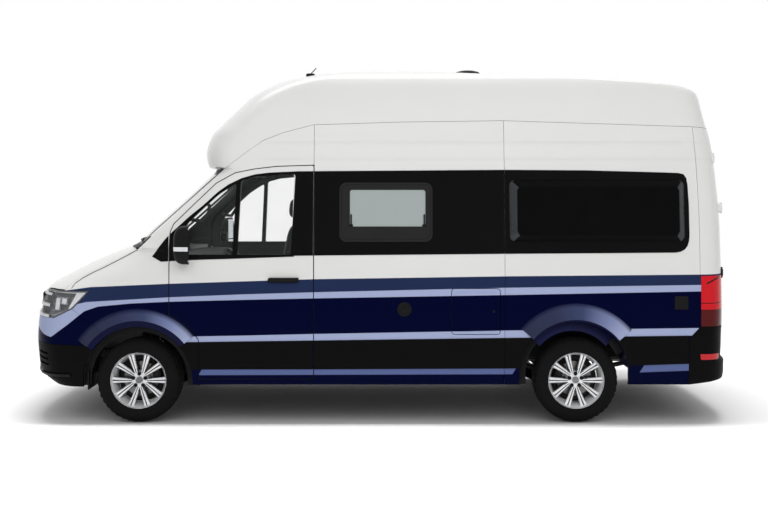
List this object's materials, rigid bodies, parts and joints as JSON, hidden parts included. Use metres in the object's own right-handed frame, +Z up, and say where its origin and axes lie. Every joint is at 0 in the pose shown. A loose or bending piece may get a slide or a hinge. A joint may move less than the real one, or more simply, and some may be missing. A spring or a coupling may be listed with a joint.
{
  "type": "motorhome",
  "caption": "High-roof motorhome on a long van body, with opening doors, bonnet and hatch, steering front wheels, a bed pod on each side and a moulded over-cab roof.",
  "frame": {"origin": "on the floor, under the middle of the bounding box", "axes": "+X forward, +Y to the left of the vehicle, +Z up"},
  "size_m": [5.986, 2.427, 3.012],
  "materials": {
    "white_paint": "gloss",
    "navy_paint": "metallic gloss",
    "black_plastic": "matte",
    "dark_glass": "tinted",
    "lamp_lens": "clear gloss",
    "red_lens": "gloss",
    "chassis_metal": "satin",
    "alloy": "satin",
    "tyre_rubber": "matte",
    "seat_cloth": "woven"
  },
  "bodies": {
    "body_shell": {"body_side_left": "white_paint", "body_side_right": "white_paint", "high_roof": "white_paint", "sliding_door": "white_paint", "front_bumper": "navy_paint", "fender_left": "navy_paint", "fender_right": "navy_paint", "rear_bumper": "black_plastic", "grille": "black_plastic", "firewall": "black_plastic", "roof_vent": "black_plastic", "bed_pod_left": "black_plastic", "bed_pod_right": "black_plastic", "dashboard": "black_plastic", "fuel_tank": "black_plastic", "windscreen": "dark_glass", "side_window": "dark_glass", "sliding_door_window": "dark_glass", "headlamp_left": "lamp_lens", "headlamp_right": "lamp_lens", "tail_lamp_left": "red_lens", "tail_lamp_right": "red_lens", "floor_pan": "chassis_metal", "chassis_frame": "chassis_metal", "front_subframe": "chassis_metal", "rear_axle": "chassis_metal", "engine_block": "chassis_metal", "exhaust": "chassis_metal", "seat_left": "seat_cloth", "seat_right": "seat_cloth", "bed_platform": "seat_cloth"},
    "bonnet": {"bonnet": "white_paint"},
    "cab_door_left": {"cab_door_left": "white_paint", "cab_door_glass_left": "dark_glass", "mirror_left": "black_plastic"},
    "cab_door_right": {"cab_door_right": "white_paint", "cab_door_glass_right": "dark_glass", "mirror_right": "black_plastic"},
    "rear_door_left": {"rear_door_left": "white_paint", "rear_door_glass_left": "dark_glass"},
    "rear_door_right": {"rear_door_right": "white_paint", "rear_door_glass_right": "dark_glass"},
    "service_hatch": {"service_hatch": "navy_paint"},
    "knuckle_left": {"knuckle_left": "chassis_metal"},
    "knuckle_right": {"knuckle_right": "chassis_metal"},
    "steering_wheel": {"steering_wheel": "black_plastic"},
    "wheel_front_left": {"rim_front_left": "alloy", "tyre_front_left": "tyre_rubber"},
    "wheel_front_right": {"rim_front_right": "alloy", "tyre_front_right": "tyre_rubber"},
    "wheel_rear_left": {"rim_rear_left": "alloy", "tyre_rear_left": "tyre_rubber"},
    "wheel_rear_right": {"rim_rear_right": "alloy", "tyre_rear_right": "tyre_rubber"}
  },
  "joints": [
    {"name": "bonnet_hinge", "type": "hinge", "parent": "body_shell", "child": "bonnet", "pos_m": [1.95, 0, 1.42], "axis": [0, -1, 0], "range_deg": [0, 50]},
    {"name": "cab_door_left_hinge", "type": "hinge", "parent": "body_shell", "child": "cab_door_left", "pos_m": [1.7325, 1.023, 1], "axis": [0, 0, -1], "range_deg": [0, 70]},
    {"name": "cab_door_right_hinge", "type": "hinge", "parent": "body_shell", "child": "cab_door_right", "pos_m": [1.7325, -1.023, 1], "axis": [0, 0, 1], "range_deg": [0, 70]},
    {"name": "rear_door_left_hinge", "type": "hinge", "parent": "body_shell", "child": "rear_door_left", "pos_m": [-2.889, 0.835, 1.5], "axis": [-0.04, 0, -0.9992], "range_deg": [0, 170]},
    {"name": "rear_door_right_hinge", "type": "hinge", "parent": "body_shell", "child": "rear_door_right", "pos_m": [-2.889, -0.835, 1.5], "axis": [0.04, 0, 0.9992], "range_deg": [0, 170]},
    {"name": "service_hatch_hinge", "type": "hinge", "parent": "body_shell", "child": "service_hatch", "pos_m": [-0.602, 1.023, 0.8], "axis": [0, 0, -1], "range_deg": [0, 110]},
    {"name": "steer_left", "type": "hinge", "parent": "body_shell", "child": "knuckle_left", "pos_m": [1.997, 0.7475, 0.35], "axis": [0, -0.2425, 0.9701], "range_deg": [-35, 35]},
    {"name": "steer_right", "type": "hinge", "parent": "body_shell", "child": "knuckle_right", "pos_m": [1.997, -0.7475, 0.35], "axis": [0, 0.2425, 0.9701], "range_deg": [-35, 35]},
    {"name": "steering_column", "type": "hinge", "parent": "body_shell", "child": "steering_wheel", "pos_m": [1.235, 0.45, 1.27], "axis": [-0.766, 0, 0.6428], "range_deg": [-560, 560]},
    {"name": "wheel_front_left_spin", "type": "hinge", "parent": "knuckle_left", "child": "wheel_front_left", "pos_m": [1.997, 0.8625, 0.35], "axis": [0, 1, 0], "continuous": true},
    {"name": "wheel_front_right_spin", "type": "hinge", "parent": "knuckle_right", "child": "wheel_front_right", "pos_m": [1.997, -0.8625, 0.35], "axis": [0, 1, 0], "continuous": true},
    {"name": "wheel_rear_left_spin", "type": "hinge", "parent": "body_shell", "child": "wheel_rear_left", "pos_m": [-1.643, 0.8625, 0.35], "axis": [0, 1, 0], "continuous": true},
    {"name": "wheel_rear_right_spin", "type": "hinge", "parent": "body_shell", "child": "wheel_rear_right", "pos_m": [-1.643, -0.8625, 0.35], "axis": [0, 1, 0], "continuous": true}
  ],
  "couplings": [
    {"joint": "steer_right", "follows": "steer_left", "ratio": 1},
    {"joint": "steering_column", "follows": "steer_left", "ratio": 16}
  ]
}
